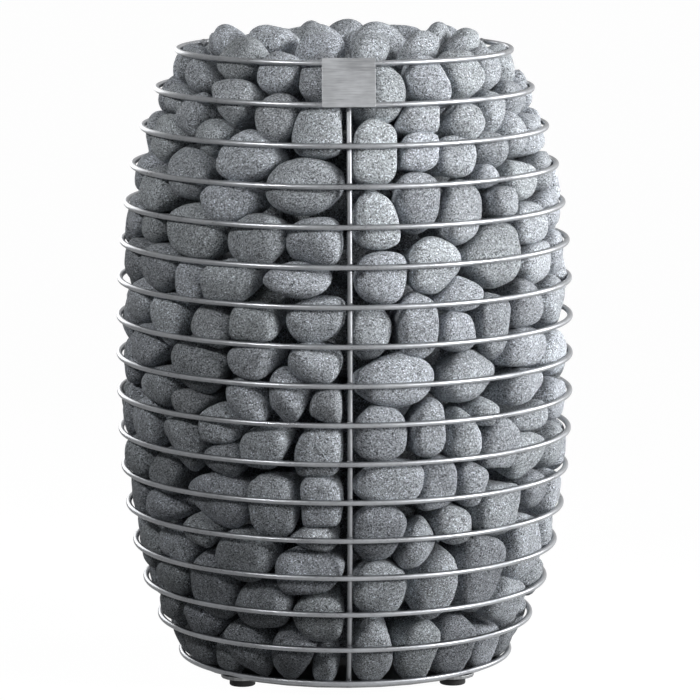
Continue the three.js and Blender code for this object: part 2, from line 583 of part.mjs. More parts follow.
// The room that a stone lies in is convex: inside the rings, above the base, below the heap's top,
// and past the corner of the nearest rib, or behind the rib if the stone's middle is close to it
const ringSag = BELLY_RADIUS * (1 - Math.cos(ringAngle / 2));
function roomRadius(height) {
  return cageRadius(height) - RING_ROD / 2 - ringSag - STONE_CLEARANCE;
}
function ribLeft({ outward, sideways }, stone, point) {
  const room = RIB_ROD / 2 + STONE_CLEARANCE;
  const aside = sideways.dot(stone.middle);
  const behind = cageRadius(point.z) - RIB_INSET - outward.dot(point);
  if (Math.abs(aside) < BESIDE_RIB) return behind - room;
  const beside = Math.sign(aside) * sideways.dot(point);
  return (behind + beside) * Math.SQRT1_2 - room;
}
function roomLeft(stone, point) {
  let left = roomRadius(point.z) - Math.hypot(point.x, point.y);
  left = Math.min(left, point.z - stone.floor, TOP_RING + HEAP_HEIGHT - point.z);
  ribs.forEach((rib) => {
    if (rib.outward.dot(stone.middle) > RIB_INSET) left = Math.min(left, ribLeft(rib, stone, point));
  });
  return left;
}

// A stone: its middle, its own axes (sideways, outward, upward along the cage) and its half sizes
function makeStone([azimuth, level, width, height, tilt = 0, recess = 0], layer) {
  const angle = THREE.MathUtils.degToRad(azimuth);
  const middleHeight = planHeight(level);
  const steep = Math.atan(-cageSlope(Math.min(middleHeight, TOP_RING)));
  const radial = new THREE.Vector3(Math.sin(angle), -Math.cos(angle), 0);
  const sideways = new THREE.Vector3(Math.cos(angle), Math.sin(angle), 0);
  const outward = radial.clone().multiplyScalar(Math.cos(steep)).setZ(Math.sin(steep));
  const upward = new THREE.Vector3().crossVectors(sideways, outward);
  const turn = THREE.MathUtils.degToRad(tilt);
  const reach = Math.max(roomRadius(middleHeight) - STONE_OUTER / Math.cos(steep) - recess * END_RADIUS, 0);
  return {
    layer,
    radial,
    middle: radial.clone().multiplyScalar(reach).setZ(middleHeight),
    axes: [
      sideways.clone().multiplyScalar(Math.cos(turn)).addScaledVector(upward, Math.sin(turn)),
      outward,
      upward.clone().multiplyScalar(Math.cos(turn)).addScaledVector(sideways, -Math.sin(turn)),
    ],
    half: [
      (STONE_SWELL * THREE.MathUtils.degToRad(width) * reach) / 2,
      STONE_OUTER,
      (STONE_SWELL * height * PLAN_STEP) / 2,
    ],
    inner: STONE_INNER,
    innerStop: BOX_RADIUS + BOX_CLEARANCE,
    floor: STONE_FLOOR,
    planes: [],
    contacts: [],
  };
}

// How far a stone reaches from its middle in a direction, before its neighbours cut it short
function localAxes(stone, direction) {
  const local = stone.axes.map((axis) => axis.dot(direction));
  const half = [stone.half[0], local[1] > 0 ? stone.half[1] : stone.inner, stone.half[2]];
  return { local, half };
}
function supportReach(stone, direction) {
  const { local, half } = localAxes(stone, direction);
  return Math.hypot(...local.map((part, k) => part * half[k]));
}
function surfaceReach(stone, direction) {
  const { local, half } = localAxes(stone, direction);
  const sum = local.reduce((total, part, k) => total + Math.abs(part / half[k]) ** STONE_SQUARENESS, 0);
  return sum ** (-1 / STONE_SQUARENESS);
}

// Distance from a point to the nearest limit of a stone, leaving out the plane it shares with one other
function stoneLeft(stone, point, other) {
  let left = Math.min(roomLeft(stone, point), stone.radial.dot(point) - stone.innerStop);
  for (const plane of stone.planes) {
    if (plane.other !== other) {
      left = Math.min(left, plane.offset - plane.normal.dot(point));
    }
  }
  return left;
}

// Between each two stones lies a plane that neither crosses
function separate(stones) {
  for (let i = 0; i < stones.length; i += 1) {
    for (let j = i + 1; j < stones.length; j += 1) {
      const from = stones[i];
      const to = stones[j];
      const normal = to.middle.clone().sub(from.middle);
      const distance = normal.length();
      if (distance < NEIGHBOUR_REACH) {
        normal.divideScalar(distance);
        const reverse = normal.clone().negate();
        const fromReach = supportReach(from, normal);
        const toReach = supportReach(to, reverse);
        const share = fromReach / (fromReach + toReach);
        const point = from.middle.clone().lerp(to.middle, share);
        const offset = normal.dot(point);
        const slack = distance - fromReach - toReach;
        from.planes.push({ other: to, normal, offset: offset - STONE_GAP / 2, point, slack });
        to.planes.push({ other: from, normal: reverse, offset: -offset - STONE_GAP / 2 });
      }
    }
  }
}

// The best place on the plane between two stones for the patch that joins them
function findPatch(from, plane) {
  const up = from.axes[2].clone().projectOnPlane(plane.normal).normalize();
  const side = new THREE.Vector3().crossVectors(plane.normal, up);
  let best = null;
  for (let a = -CONTACT_REACH; a <= CONTACT_REACH; a += CONTACT_STEP) {
    for (let b = -CONTACT_REACH; b <= CONTACT_REACH; b += CONTACT_STEP) {
      const point = plane.point.clone().addScaledVector(up, a).addScaledVector(side, b);
      const left = Math.min(stoneLeft(from, point, plane.other), stoneLeft(plane.other, point, from));
      const score = Math.min(left, 2 * CONTACT_RADIUS) - Math.hypot(a, b) / CONTACT_RADIUS;
      if (left > CONTACT_LEAST + STONE_GAP && (!best || score > best.score)) {
        best = { score, point, radius: Math.min(left - STONE_GAP, CONTACT_RADIUS) };
      }
    }
  }
  if (!best) return null;
  const corners = [0, 1, 2].map((k) => {
    const angle = (2 * Math.PI * k) / 3;
    return best.point.clone()
      .addScaledVector(up, best.radius * Math.cos(angle))
      .addScaledVector(side, best.radius * Math.sin(angle));
  });
  return corners;
}

// Joins stones into one body for each layer, by the contacts with the least gap. A group of stones
// that meets none of its own layer joins the layer that it does meet.
function linkStones(stones) {
  const pairs = [];
  stones.forEach((from) => from.planes.forEach((plane) => {
    if (plane.point) pairs.push({ from, to: plane.other, plane });
  }));
  pairs.sort((a, b) => a.plane.slack - b.plane.slack);
  const groupOf = new Map(stones.map((stone) => [stone, [stone]]));
  const join = ({ from, to, plane }) => {
    const patch = findPatch(from, plane);
    if (!patch) return false;
    from.contacts.push(patch);
    to.contacts.push(patch);
    plane.offset -= CONTACT_BACKOFF;
    to.planes.find((other) => other.other === from).offset -= CONTACT_BACKOFF;
    const group = [...groupOf.get(to), ...groupOf.get(from)];
    group.forEach((stone) => groupOf.set(stone, group));
    return true;
  };
  pairs.forEach((pair) => {
    const { from, to } = pair;
    if (from.layer === to.layer && groupOf.get(from) !== groupOf.get(to)) join(pair);
  });
  const main = new Map();
  stones.forEach((stone) => {
    const group = groupOf.get(stone);
    if (group.length > (main.get(stone.layer)?.length ?? 0)) main.set(stone.layer, group);
  });
  const isLoose = (stone) => !groupOf.get(stone).includes(main.get(stone.layer)[0]);
  for (let changed = true; changed;) {
    const pair = pairs.find(({ from, to, ...rest }) => (
      isLoose(from) !== isLoose(to) && join({ from, to, ...rest })
    ));
    changed = pair !== undefined;
    if (changed) {
      const home = isLoose(pair.from) ? pair.to.layer : pair.from.layer;
      groupOf.get(pair.from).forEach((stone) => { stone.layer = home; });
    }
  }
}

// Directions of a stone's corners in its own axes
const STONE_CORNERS = [
  [0, 1, 0.1],
  [-0.6, 0.9, 0.6], [0.6, 0.9, 0.6], [0.6, 0.9, -0.6], [-0.6, 0.9, -0.6],
  [-1, 0.2, 0.1], [1, 0.2, -0.1],
  [0.1, 0.2, 1], [-0.1, 0.2, -1],
  [-0.45, -1, 0.3], [0.45, -1, -0.3],
];
function stoneCorners(stone) {
  return STONE_CORNERS.map((corner) => {
    const direction = new THREE.Vector3();
    stone.axes.forEach((axis, k) => {
      const half = k === 1 && corner[1] < 0 ? stone.inner : stone.half[k];
      direction.addScaledVector(axis, (corner[k] + spread(CORNER_SPREAD)) * half);
    });
    direction.normalize();
    let reach = surfaceReach(stone, direction) * (LEAST_FILL + (1 - LEAST_FILL) * random());
    stone.planes.forEach((plane) => {
      const towards = plane.normal.dot(direction);
      if (towards > 0) {
        reach = Math.min(reach, (plane.offset - plane.normal.dot(stone.middle)) / towards);
      }
    });
    const at = (length) => stone.middle.clone().addScaledVector(direction, length);
    if (stoneLeft(stone, at(reach)) < 0) {
      let inside = 0;
      for (let cut = reach / 2; cut > MERGE_DISTANCE; cut /= 2) {
        if (stoneLeft(stone, at(inside + cut)) >= 0) inside += cut;
      }
      reach = inside;
    }
    return at(reach);
  });
}

// One closed body for a layer: convex stones that share their contact patches
function layerGeometry(stones) {
  const points = [];
  const triangles = [];
  stones.forEach((stone) => {
    const patchOf = new Map();
    stone.contacts.forEach((corners, patch) => corners.forEach((corner) => patchOf.set(corner, patch)));
    const hull = new ConvexHull().setFromPoints([...stoneCorners(stone), ...patchOf.keys()]);
    hull.faces.forEach((face) => {
      const corners = [face.edge, face.edge.next, face.edge.next.next].map((edge) => edge.head().point);
      const patches = corners.map((corner) => patchOf.get(corner));
      const shared = patches[0] !== undefined && patches[0] === patches[1] && patches[1] === patches[2];
      if (!shared) {
        triangles.push([points.length, points.length + 1, points.length + 2]);
        points.push(...corners);
      }
    });
  });
  return closed(meshGeometry(points, triangles));
}

// Stones at the back lie side by side, a little uneven
function backRow({ count, level, height, recess = 0, shift = 0 }) {
  const width = (BACK_END - BACK_START) / (count - 1 + Math.abs(shift));
  const row = [];
  for (let index = 0; index < count; index += 1) {
    row.push([
      BACK_START + width * (index + Math.max(shift, 0)) + spread(BACK_UNEVEN.azimuth),
      level + spread(BACK_UNEVEN.level),
      width * (1 + spread(BACK_UNEVEN.width)),
      height * (1 + spread(BACK_UNEVEN.height)),
      spread(BACK_UNEVEN.tilt),
      recess,
    ]);
  }
  return row;
}

// Even stones right round the axis
function ringRow({ count, level, width, height, recess }) {
  return Array.from({ length: count }, (_, index) => (
    [(360 * index) / count, level, width, height, 0, recess]
  ));
}

const stones = [];
COURSES.forEach(({ level, front }, index) => {
  const layer = Math.floor(index / LAYER_COURSES) + 1;
  const shift = index % 2 ? BACK_SHIFT : -BACK_SHIFT;
  const back = backRow({ count: BACK_STONES, level, height: BACK_STONE_HEIGHT, shift });
  [...front, ...back].forEach((plan) => stones.push(makeStone(plan, `stone_layer_${layer}`)));
});
const crown = [
  { layer: 'stone_crown_rim', plans: [...CROWN_RIM, ...backRow(CROWN_RIM_BACK)] },
  { layer: 'stone_crown_top', plans: [...CROWN_TOP, ...backRow(CROWN_TOP_BACK)] },
];
crown.forEach(({ layer, plans }) => plans.forEach((plan) => {
  stones.push({ ...makeStone(plan, layer), inner: CROWN_INNER, innerStop: -END_RADIUS });
}));
ringRow(CORE_STONES).forEach((plan) => {
  const stone = makeStone(plan, 'stone_core');
  stones.push({ ...stone, inner: CORE_INNER, innerStop: 0, floor: ELEMENT_TOP + STONE_CLEARANCE });
});

separate(stones);
const layerNames = [...new Set(stones.map((stone) => stone.layer))];
linkStones(stones);
layerNames.forEach((name) => {
  addPart(name, layerGeometry(stones.filter((stone) => stone.layer === name)), STONE_GREY);
});

export default group;
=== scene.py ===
"""Sauna heater stove: a rod cage full of stones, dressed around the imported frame.

Metres, +Z up, front towards -Y. Places and sizes come from the frame's nodes.
"""

import math

import bmesh
import bpy
import numpy as np
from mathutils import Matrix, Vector, noise


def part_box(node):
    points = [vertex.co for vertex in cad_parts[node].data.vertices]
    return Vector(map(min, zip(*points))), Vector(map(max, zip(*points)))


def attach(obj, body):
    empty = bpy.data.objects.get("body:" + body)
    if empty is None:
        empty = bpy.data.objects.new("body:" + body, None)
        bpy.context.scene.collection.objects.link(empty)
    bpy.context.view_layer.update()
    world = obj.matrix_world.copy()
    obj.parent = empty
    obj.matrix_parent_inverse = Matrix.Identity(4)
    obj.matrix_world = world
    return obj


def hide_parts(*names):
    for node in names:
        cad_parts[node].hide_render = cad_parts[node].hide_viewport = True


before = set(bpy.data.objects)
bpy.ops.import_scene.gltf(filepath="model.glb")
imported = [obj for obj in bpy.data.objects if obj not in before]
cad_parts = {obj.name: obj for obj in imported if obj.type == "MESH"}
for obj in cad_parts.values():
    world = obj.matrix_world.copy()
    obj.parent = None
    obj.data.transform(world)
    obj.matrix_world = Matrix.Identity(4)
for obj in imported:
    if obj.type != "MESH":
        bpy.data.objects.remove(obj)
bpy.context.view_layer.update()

BODY = "heater"
SEED = 11

# Camera, fitted to the photograph's rings
LENS = 230.2
SENSOR = 36.0
IMAGE_WIDTH = 700
CAMERA_DISTANCE = 3.981
CAMERA_HEIGHT = 0.895
CAMERA_REACH = 100.0  # the camera sees nothing farther away
CAMERA_TILT = math.radians(8.70)
CAMERA_ROLL = math.radians(0.06)
CAMERA_TURN = math.radians(1.3)  # the front rib is this far right of the camera's line
AXIS_OFFSET_PX = -6.0  # the heater's axis is this far right of the image's middle

# Lamps, in degrees, metres and watts; aim is the height on the heater's axis that a lamp faces
LIGHTS = {
    "key": {
        "azimuth": 66, "elevation": 12, "distance": 1.35, "size": (0.9, 0.8), "aim": 0.44,
        "spread": 42, "power": 2.95,
    },
    "panel": {
        "azimuth": 35, "elevation": 16, "distance": 1.8, "size": (0.45, 0.5), "aim": 0.40,
        "spread": 60, "power": 0.32,
    },
    "strip": {
        "azimuth": -44, "elevation": 28, "distance": 2.0, "size": (0.5, 0.2), "aim": 0.45,
        "spread": 36, "power": 0.62,
    },
    "rim": {
        "azimuth": 112, "elevation": 9, "distance": 1.6, "size": (0.5, 0.9), "aim": 0.40,
        "spread": 56, "power": 1.4,
    },
    "back": {
        "azimuth": 205, "elevation": 10, "distance": 1.8, "size": (0.9, 0.9), "aim": 0.34,
        "spread": 60, "power": 0.9,
    },
}

# Studio
BRIGHT_SIDE = 80  # azimuth of the side of the studio that metal shows as white
DARK_SIDE = 0.4  # how bright metal shows the other side
SIDE_SPAN = (-0.5, 0.7)  # cosines of the angle to the bright side, between which that changes
AMBIENT_COLOR = (0.96, 0.98, 1.0, 1)
AMBIENT_LOW = 0.05  # at the horizon
AMBIENT_HIGH = 0.09  # overhead
WHITE = (1, 1, 1, 1)
FLOOR_SIZE = 40.0
FLOOR_ALBEDO = (0.08, 0.08, 0.08, 1)
FLOOR_ROUGHNESS = 0.9
FLOOR_GLOW = 0.98  # how bright the floor looks, where 1 is white

# Finishes
NOISE_SPAN = (0.3, 0.7)  # where most values of a noise texture lie
STEEL_SHADES = (0.76, 1.20)  # darkest and lightest share of a steel's colour

# Cage
RING_ROD = 0.005
RIB_ROD = 0.0046
RING_SEGMENTS = 180
ROD_SIDES = 16
ROD_DOME = [math.radians(degrees) for degrees in (75, 50, 25)]  # rows of a rod's round end, from its tip
RIB_STEPS_PER_RING = 6
WELD_SPHERE = 3  # subdivisions of the sphere that a bead is shaped from
WELD_HALF = (0.0036, 0.0020, 0.0032)  # along the ring, radially, along the rib
WELD_ROUGHNESS = 0.12
WELD_RANGE = (0.8, 1.15)  # least and most of a bead's half size

# Sheets
PLATE_CORNER = 0.0016
PLATE_EDGE = 0.0003
SHEET_EDGE = 0.0004  # of the base plate and the cover
SHORT_EDGE = 2.0  # edges up to this many times the shortest are a plate's corners
CORNER_SEGMENTS = 6
EDGE_SEGMENTS = 2
SHARP = math.radians(40)  # edges that turn by more than this are broken
CREASE = math.radians(20)  # and shaded as edges from this angle on
FLAT = math.radians(0.5)  # faces at a smaller angle are one face
SAME_POINT = 1e-5  # points closer than this are one point

# Feet
FEET = ("front_right", "back_right", "back_left", "front_left")
PAD_FILLET = 0.0012
PAD_WALL = 0.0024
PAD_LIP = 0.0005  # radius of the upper edges
PAD_GAP = 0.0003  # between the stud's end and the bottom of the cup that it turns in
PAD_SEGMENTS = 48
QUARTER = [math.radians(degrees) for degrees in (0, 30, 60, 90)]  # angles along a rounded edge
THREAD_PITCH = 0.00125
THREAD_DEPTH = 0.0007
THREAD_SEGMENTS = 40
THREAD_STEPS = 8  # rings of points for each turn

# Underside
GROMMET_SEGMENTS = 48
GROMMET_EDGE = 0.0005
GROMMET_DIGITS = 5  # decimals that tell its radii and levels apart
SCREW_COUNT = 4
SCREW_INSET = 0.004  # from the edge of the wiring cover to its screws
SCREW_SIDES = 6
SCREW_HEAD = 0.0031  # from the axis to a corner
SCREW_FACE = 0.88  # share of the head inside its chamfer
SCREW_HEIGHT = 0.0018
SCREW_WASHER = 0.0005
SCREW_WASHER_REACH = 1.08  # share of the head
SCREW_SEGMENTS = 20

# Stones
POINT_DIGITS = 6  # decimals that tell the corners of a solid apart
CONTACT_EDGE = 0.0072  # longest side of the patch that joins two stones of a node
CONTACT_TOLERANCE = 0.02  # share by which the sides of a patch may differ
STONE_SPHERE = 4  # subdivisions of the sphere that a stone is shaped from
STONE_POWER = (3.6, 9.0)  # low is round, high keeps the flat faces
CROWN_POWER = (2.7, 4.0)  # loose stones on top are rounder
STONE_DEPTH = 0.058  # most that a stone reaches inwards from its outer face
STONE_FIT = 1.13  # how far a stone fills the room that its solid holds
STONE_LEAST_ROOM = 0.004  # from a stone's middle to any of its faces
LEAST_FACE = 0.004  # faces with a smaller share of a stone are slivers, and left out
ONE_FACE = math.radians(5)  # faces of a stone at a smaller angle count as one
BEHIND_RIB = 2 * RIB_ROD  # stones with their middle closer than this to a rib's line lie behind it
BESIDE_RIB = 0.045  # and other stones that are closer than this keep to one side of it
CLEAR_OF_RIB = {"left": 0.0055, "right": 0.0014}  # gaps between a rib and the stones on either side
REST_REACH = 0.020  # stones whose room comes this close to the base plate reach down to it
SETTLE_MOST = 0.013  # how far a stone may move out to rest against the rings
SETTLE_PAST_CAGE = 0.006
LUMP_SIZE = 0.030
LUMP_HEIGHT = 0.0024
LUMP_SHIFT = (1.7, -0.9, 0.6)  # of the lumps from each stone to the next
DENT_SIZE = 0.009
DENT_HEIGHT = 0.00055
SHADE_SPREAD = 0.13
SHADE_RANGE = (0.72, 1.3)

# Stones behind the outer ones
FILL_SPHERE = 3
FILL_HALF = (0.034, 0.029, 0.027)  # along the ring, radially, upright
FILL_UNEVEN = (0.9, 1.1)
FILL_SHIFT = 0.004  # most that a stone lies above or below its row
FILL_COUNT = 11
FILL_RING = 0.092
FILL_ROUND_BOX = 0.104  # radius of the lowest row, which goes round the terminal box
FILL_LOW = 0.048
FILL_HIGH = 0.52
FILL_STEP = 0.042
FILL_UNDER_CROWN = [(0.526, 0.055, 6), (0.528, 0.0, 1)]  # height, radius and count of two more rows


# Shader helpers
def new_material(name):
    """A material with its node tree and main shader"""
    material = bpy.data.materials.new(name)
    material.use_nodes = True
    tree = material.node_tree
    return material, tree, tree.nodes["Principled BSDF"]


def add_node(tree, kind, inputs=None, **settings):
    node = tree.nodes.new(kind)
    for setting, value in settings.items():
        setattr(node, setting, value)
    for socket, value in (inputs or {}).items():
        node.inputs[socket].default_value = value
    return node


def object_coords(tree, stretch=(1, 1, 1)):
    coords = add_node(tree, "ShaderNodeTexCoord")
    mapping = add_node(tree, "ShaderNodeMapping", {"Scale": stretch})
    tree.links.new(coords.outputs["Object"], mapping.inputs["Vector"])
    return mapping.outputs["Vector"]


def noise_value(tree, vector, scale, detail=2.0, roughness=0.5):
    node = add_node(tree, "ShaderNodeTexNoise", {"Scale": scale, "Detail": detail, "Roughness": roughness})
    tree.links.new(vector, node.inputs["Vector"])
    return node.outputs["Fac"]


def remap(tree, value, low, high, new_low, new_high):
    node = add_node(tree, "ShaderNodeMapRange", {1: low, 2: high, 3: new_low, 4: new_high})
    tree.links.new(value, node.inputs[0])
    return node.outputs[0]


def math_of(tree, operation, first, second):
    node = add_node(tree, "ShaderNodeMath", operation=operation)
    for socket, value in zip(node.inputs, (first, second)):
        if isinstance(value, (int, float)):
            socket.default_value = value
        else:
            tree.links.new(value, socket)
    return node.outputs[0]


def red_of(tree, color):
    node = add_node(tree, "ShaderNodeSeparateColor")
    tree.links.new(color, node.inputs["Color"])
    return node.outputs["Red"]


def ramp(tree, value, stops):
    """Color that runs through some stops, each a position and a color"""
    node = add_node(tree, "ShaderNodeValToRGB")
    elements = node.color_ramp.elements
    while len(elements) < len(stops):
        elements.new(0.5)
    for element, (position, color) in zip(elements, stops):
        element.position = position
        element.color = color
    tree.links.new(value, node.inputs["Fac"])
    return node.outputs["Color"]


def grey(level):
    return (level, level, level, 1)


def tinted(tree, color, strength):
    """A color times a strength"""
    node = add_node(tree, "ShaderNodeVectorMath", operation="SCALE")
    tree.links.new(color, node.inputs[0])
    tree.links.new(strength, node.inputs["Scale"])
    return node.outputs["Vector"]


def add_bump(tree, shader, height, distance, strength):
    node = add_node(tree, "ShaderNodeBump", {"Strength": strength, "Distance": distance})
    tree.links.new(height, node.inputs["Height"])
    tree.links.new(node.outputs["Normal"], shader.inputs["Normal"])


# Materials
def stone_place(tree):
    """Coordinates on a stone, moved by the stone's own amount, so that no two have the same grain"""
    coords = add_node(tree, "ShaderNodeTexCoord")
    shift = add_node(tree, "ShaderNodeAttribute", attribute_name="grain_shift")
    moved = add_node(tree, "ShaderNodeVectorMath", operation="ADD")
    tree.links.new(coords.outputs["Object"], moved.inputs[0])
    tree.links.new(shift.outputs["Vector"], moved.inputs[1])
    return moved.outputs["Vector"]


def stone_grain(tree, place):
    """Light and dark of a stone: fine grain, crystals of which some are black or white, and faint clouds"""
    grain = remap(tree, noise_value(tree, place, 1080, 2.0, 0.6), *NOISE_SPAN, 0.10, 1.90)
    crystals = add_node(tree, "ShaderNodeTexVoronoi", {"Scale": 920.0})
    tree.links.new(place, crystals.inputs["Vector"])
    flecks = ramp(tree, red_of(tree, crystals.outputs["Color"]), [
        (0.0, grey(0.18)),
        (0.14, grey(0.70)),
        (0.5, grey(1.0)),
        (0.84, grey(1.18)),
        (0.97, grey(1.7)),
    ])
    clouds = remap(tree, noise_value(tree, place, 42, 4.0, 0.6), *NOISE_SPAN, 0.84, 1.16)
    return math_of(tree, "MULTIPLY", math_of(tree, "MULTIPLY", grain, red_of(tree, flecks)), clouds)


def stone_material():
    """Speckled grey stone; each stone has its own shade, hue and grain, read from its mesh"""
    material, tree, shader = new_material("speckled_stone")
    place = stone_place(tree)
    hue = add_node(tree, "ShaderNodeAttribute", attribute_name="hue")
    shade = add_node(tree, "ShaderNodeAttribute", attribute_name="shade")
    base = ramp(tree, hue.outputs["Fac"], [
        (0.0, (0.376, 0.402, 0.421, 1)),
        (0.2, (0.385, 0.410, 0.436, 1)),
        (0.75, (0.390, 0.413, 0.449, 1)),
        (1.0, (0.386, 0.408, 0.432, 1)),
    ])
    strength = math_of(tree, "MULTIPLY", stone_grain(tree, place), shade.outputs["Fac"])
    tree.links.new(tinted(tree, base, strength), shader.inputs["Base Color"])
    rough = remap(tree, noise_value(tree, place, 160, 2.0), *NOISE_SPAN, 0.74, 0.92)
    tree.links.new(rough, shader.inputs["Roughness"])
    shader.inputs["Specular IOR Level"].default_value = 0.3
    add_bump(tree, shader, noise_value(tree, place, 700, 3.0, 0.6), 0.0007, 0.4)
    return material


def steel_material(name, color, roughness, grain_stretch, grain_scale, bump):
    """Stainless steel with fine drawn or brushed lines along one axis"""
    material, tree, shader = new_material(name)
    shader.inputs["Metallic"].default_value = 1.0
    lines = noise_value(tree, object_coords(tree, grain_stretch), grain_scale, 3.0, 0.6)
    smears = noise_value(tree, object_coords(tree), 28, 3.0, 0.6)
    both = math_of(tree, "ADD", lines, smears)
    dark, light = [tuple(share * part for part in color) + (1,) for share in STEEL_SHADES]
    shades = ramp(tree, remap(tree, both, 0.75, 1.25, 0, 1), [(0.0, dark), (1.0, light)])
    tree.links.new(shades, shader.inputs["Base Color"])
    spread = remap(tree, both, 0.7, 1.3, roughness - 0.06, roughness + 0.08)
    tree.links.new(spread, shader.inputs["Roughness"])
    add_bump(tree, shader, lines, bump, 0.35)
    return material


def stained_steel_material():
    """Heating element tube: dull steel with straw and blue heat stains"""
    material, tree, shader = new_material("heat_stained_steel")
    shader.inputs["Metallic"].default_value = 1.0
    stains = noise_value(tree, object_coords(tree, (1, 1, 0.35)), 22, 4.0, 0.6)
    tint = ramp(tree, stains, [
        (0.30, (0.16, 0.15, 0.15, 1)),
        (0.48, (0.26, 0.21, 0.15, 1)),
        (0.58, (0.20, 0.16, 0.15, 1)),
        (0.70, (0.13, 0.14, 0.18, 1)),
    ])
    tree.links.new(tint, shader.inputs["Base Color"])
    tree.links.new(remap(tree, stains, *NOISE_SPAN, 0.42, 0.6), shader.inputs["Roughness"])
    add_bump(tree, shader, noise_value(tree, object_coords(tree), 900, 2.0), 0.0002, 0.3)
    return material


def rubber_material():
    """Matte black moulded rubber, dustier in patches"""
    material, tree, shader = new_material("black_rubber")
    dust = noise_value(tree, object_coords(tree), 90, 4.0, 0.65)
    tint = ramp(tree, dust, [(0.35, (0.012, 0.012, 0.013, 1)), (0.75, (0.030, 0.030, 0.030, 1))])
    tree.links.new(tint, shader.inputs["Base Color"])
    tree.links.new(remap(tree, dust, *NOISE_SPAN, 0.58, 0.74), shader.inputs["Roughness"])
    add_bump(tree, shader, noise_value(tree, object_coords(tree), 1500, 2.0), 0.0002, 0.4)
    return material


def ceramic_material():
    """Off-white glazed ceramic with faint fired clouds"""
    material, tree, shader = new_material("white_ceramic")
    clouds = noise_value(tree, object_coords(tree), 60, 3.0, 0.6)
    tint = ramp(tree, clouds, [(0.3, (0.74, 0.71, 0.64, 1)), (0.7, (0.82, 0.80, 0.74, 1))])
    tree.links.new(tint, shader.inputs["Base Color"])
    tree.links.new(remap(tree, clouds, *NOISE_SPAN, 0.25, 0.4), shader.inputs["Roughness"])
    add_bump(tree, shader, noise_value(tree, object_coords(tree), 700, 2.0), 0.0001, 0.3)
    return material


STONE = stone_material()
ROD_STEEL = steel_material("drawn_rod_steel", (0.388, 0.40, 0.42), 0.31, (1, 1, 9), 260, 0.00006)
RIB_STEEL = steel_material("rib_steel", (0.295, 0.303, 0.317), 0.44, (9, 9, 1), 260, 0.00006)
PLATE_STEEL = steel_material("brushed_plate_steel", (0.413, 0.423, 0.438), 0.46, (1, 1, 16), 55, 0.0001)
BASE_STEEL = steel_material("base_steel", (0.27, 0.275, 0.28), 0.42, (1, 14, 1), 120, 0.00005)
ELEMENT_STEEL = stained_steel_material()
RUBBER = rubber_material()
CERAMIC = ceramic_material()


# Mesh helpers
def add_object(name, data):
    thing = bpy.data.objects.new(name, data)
    bpy.context.scene.collection.objects.link(thing)
    return thing


def add_piece(name, vertices, faces, material, slot, nodes=(), body=BODY):
    """A piece that rides on a body and takes the place of some nodes' solids"""
    mesh = bpy.data.meshes.new(name)
    mesh.from_pydata([tuple(vertex) for vertex in vertices], [], [tuple(face) for face in faces])
    mesh.materials.append(material)
    mesh.shade_smooth()
    piece = add_object(name, mesh)
    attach(piece, body)
    if nodes:
        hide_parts(*nodes)
    return piece


def join(parts):
    """One list of vertices and one of faces from several"""
    vertices, faces = [], []
    for part_vertices, part_faces in parts:
        start = len(vertices)
        vertices.extend(part_vertices)
        faces.extend([tuple(start + corner for corner in face) for face in part_faces])
    return vertices, faces


def grid_faces(rows, columns, wrap_rows=False):
    """Faces of a grid of points whose columns close on themselves"""
    faces = []
    for row in range(rows if wrap_rows else rows - 1):
        after = (row + 1) % rows
        for column in range(columns):
            beside = (column + 1) % columns
            faces.append((
                row * columns + column, row * columns + beside,
                after * columns + beside, after * columns + column,
            ))
    return faces


def capped_faces(rows, columns):
    """Faces of rows of points between a first and a last point on their axis"""
    faces = [tuple(1 + corner for corner in face) for face in grid_faces(rows, columns)]
    last = rows * columns + 1
    for column in range(columns):
        beside = (column + 1) % columns
        faces.append((0, 1 + beside, 1 + column))
        faces.append((last, last - columns + column, last - columns + beside))
    return faces


def around(center, height, reaches):
    """Points round an upright axis, one at each of some distances from it"""
    points = []
    for step, reach in enumerate(reaches):
        turn = 2 * math.pi * step / len(reaches)
        points.append((center[0] + reach * math.cos(turn), center[1] + reach * math.sin(turn), height))
    return points


def revolve(profile, center, segments):
    """Body of revolution about an upright axis; the profile starts and ends on the axis"""
    vertices = [(*center, profile[0][1])]
    for radius, height in profile[1:-1]:
        vertices += around(center, height, [radius] * segments)
    vertices.append((*center, profile[-1][1]))
    return vertices, capped_faces(len(profile) - 2, segments)


def ring_rod(radius, height, rod):
    """Torus about the heater's axis"""
    vertices = []
    for step in range(RING_SEGMENTS):
        turn = 2 * math.pi * step / RING_SEGMENTS
        for side in range(ROD_SIDES):
            angle = 2 * math.pi * side / ROD_SIDES
            reach = radius + rod / 2 * math.cos(angle)
            vertices.append((
                reach * math.sin(turn), -reach * math.cos(turn), height + rod / 2 * math.sin(angle),
            ))
    return vertices, grid_faces(RING_SEGMENTS, ROD_SIDES, wrap_rows=True)


